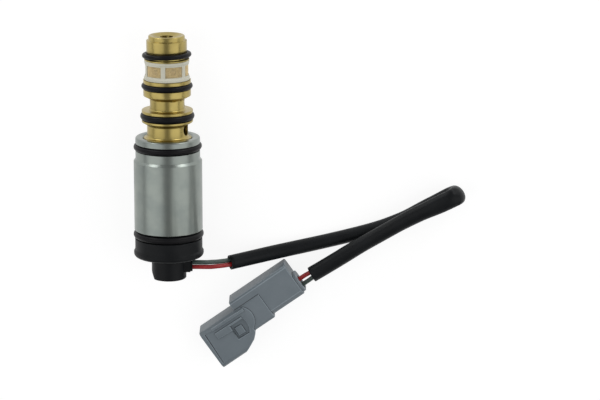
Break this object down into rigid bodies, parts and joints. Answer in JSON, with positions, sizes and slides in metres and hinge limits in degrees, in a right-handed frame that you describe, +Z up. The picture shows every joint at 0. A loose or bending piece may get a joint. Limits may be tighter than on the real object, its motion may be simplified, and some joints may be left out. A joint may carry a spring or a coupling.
{
  "type": "compressor control valve",
  "caption": "Solenoid control valve with turned brass nose, sealing rings and filter ring, grooved steel case, moulded base, sleeved wire lead and two-way connector.",
  "frame": {"origin": "on the floor, below the middle of the lying valve, lead and connector left out", "axes": "+Y along the valve's axis toward the brass nose, +Z up, the lead leaves toward +X"},
  "size_m": [0.1181, 0.1207, 0.0247],
  "materials": {
    "brass": "turned satin",
    "zinc_steel": "zinc plated satin",
    "magnetic_steel": "machined",
    "stainless_steel": "polished",
    "spring_steel": "drawn wire",
    "ring_rubber": "smooth satin",
    "black_plastic": "moulded satin",
    "white_plastic": "moulded satin",
    "filter_mesh": "woven wire",
    "bobbin_plastic": "moulded",
    "coil_copper": "enamelled copper wire",
    "contact_metal": "tinned brass",
    "red_insulation": "smooth satin",
    "green_insulation": "smooth satin",
    "sleeve_plastic": "soft tubing",
    "grey_plastic": "moulded satin",
    "seal_rubber": "moulded"
  },
  "bodies": {
    "valve": {"valve_body": "brass", "adjusting_screw": "brass", "opening_spring": "spring_steel", "return_spring": "spring_steel", "guide_bush": "brass", "filter_frame": "white_plastic", "filter_mesh": "filter_mesh", "upper_seal_ring": "ring_rubber", "filter_seal_ring": "ring_rubber", "middle_seal_ring": "ring_rubber", "case_seal_ring": "ring_rubber", "base_seal_ring": "ring_rubber", "solenoid_case": "zinc_steel", "fixed_core": "magnetic_steel", "guide_tube": "stainless_steel", "coil_bobbin": "bobbin_plastic", "coil_winding": "coil_copper", "lower_yoke": "magnetic_steel", "red_coil_terminal": "contact_metal", "green_coil_terminal": "contact_metal", "base_cap": "black_plastic", "lead_grommet": "black_plastic", "red_wire": "red_insulation", "green_wire": "green_insulation", "wire_sleeve": "sleeve_plastic", "connector_housing": "grey_plastic", "red_contact_pin": "contact_metal", "green_contact_pin": "contact_metal", "wire_seal": "seal_rubber", "contact_retainer": "grey_plastic"},
    "armature": {"plunger": "magnetic_steel", "valve_rod": "stainless_steel", "spring_seat": "stainless_steel"}
  },
  "joints": [
    {"name": "armature_slide", "type": "slide", "parent": "valve", "child": "armature", "axis": [0, 1, 0], "range_m": [0, 0.0008], "stiffness_N_per_m": 800, "springref_m": -0.001, "deforming": ["opening_spring", "return_spring"]}
  ]
}
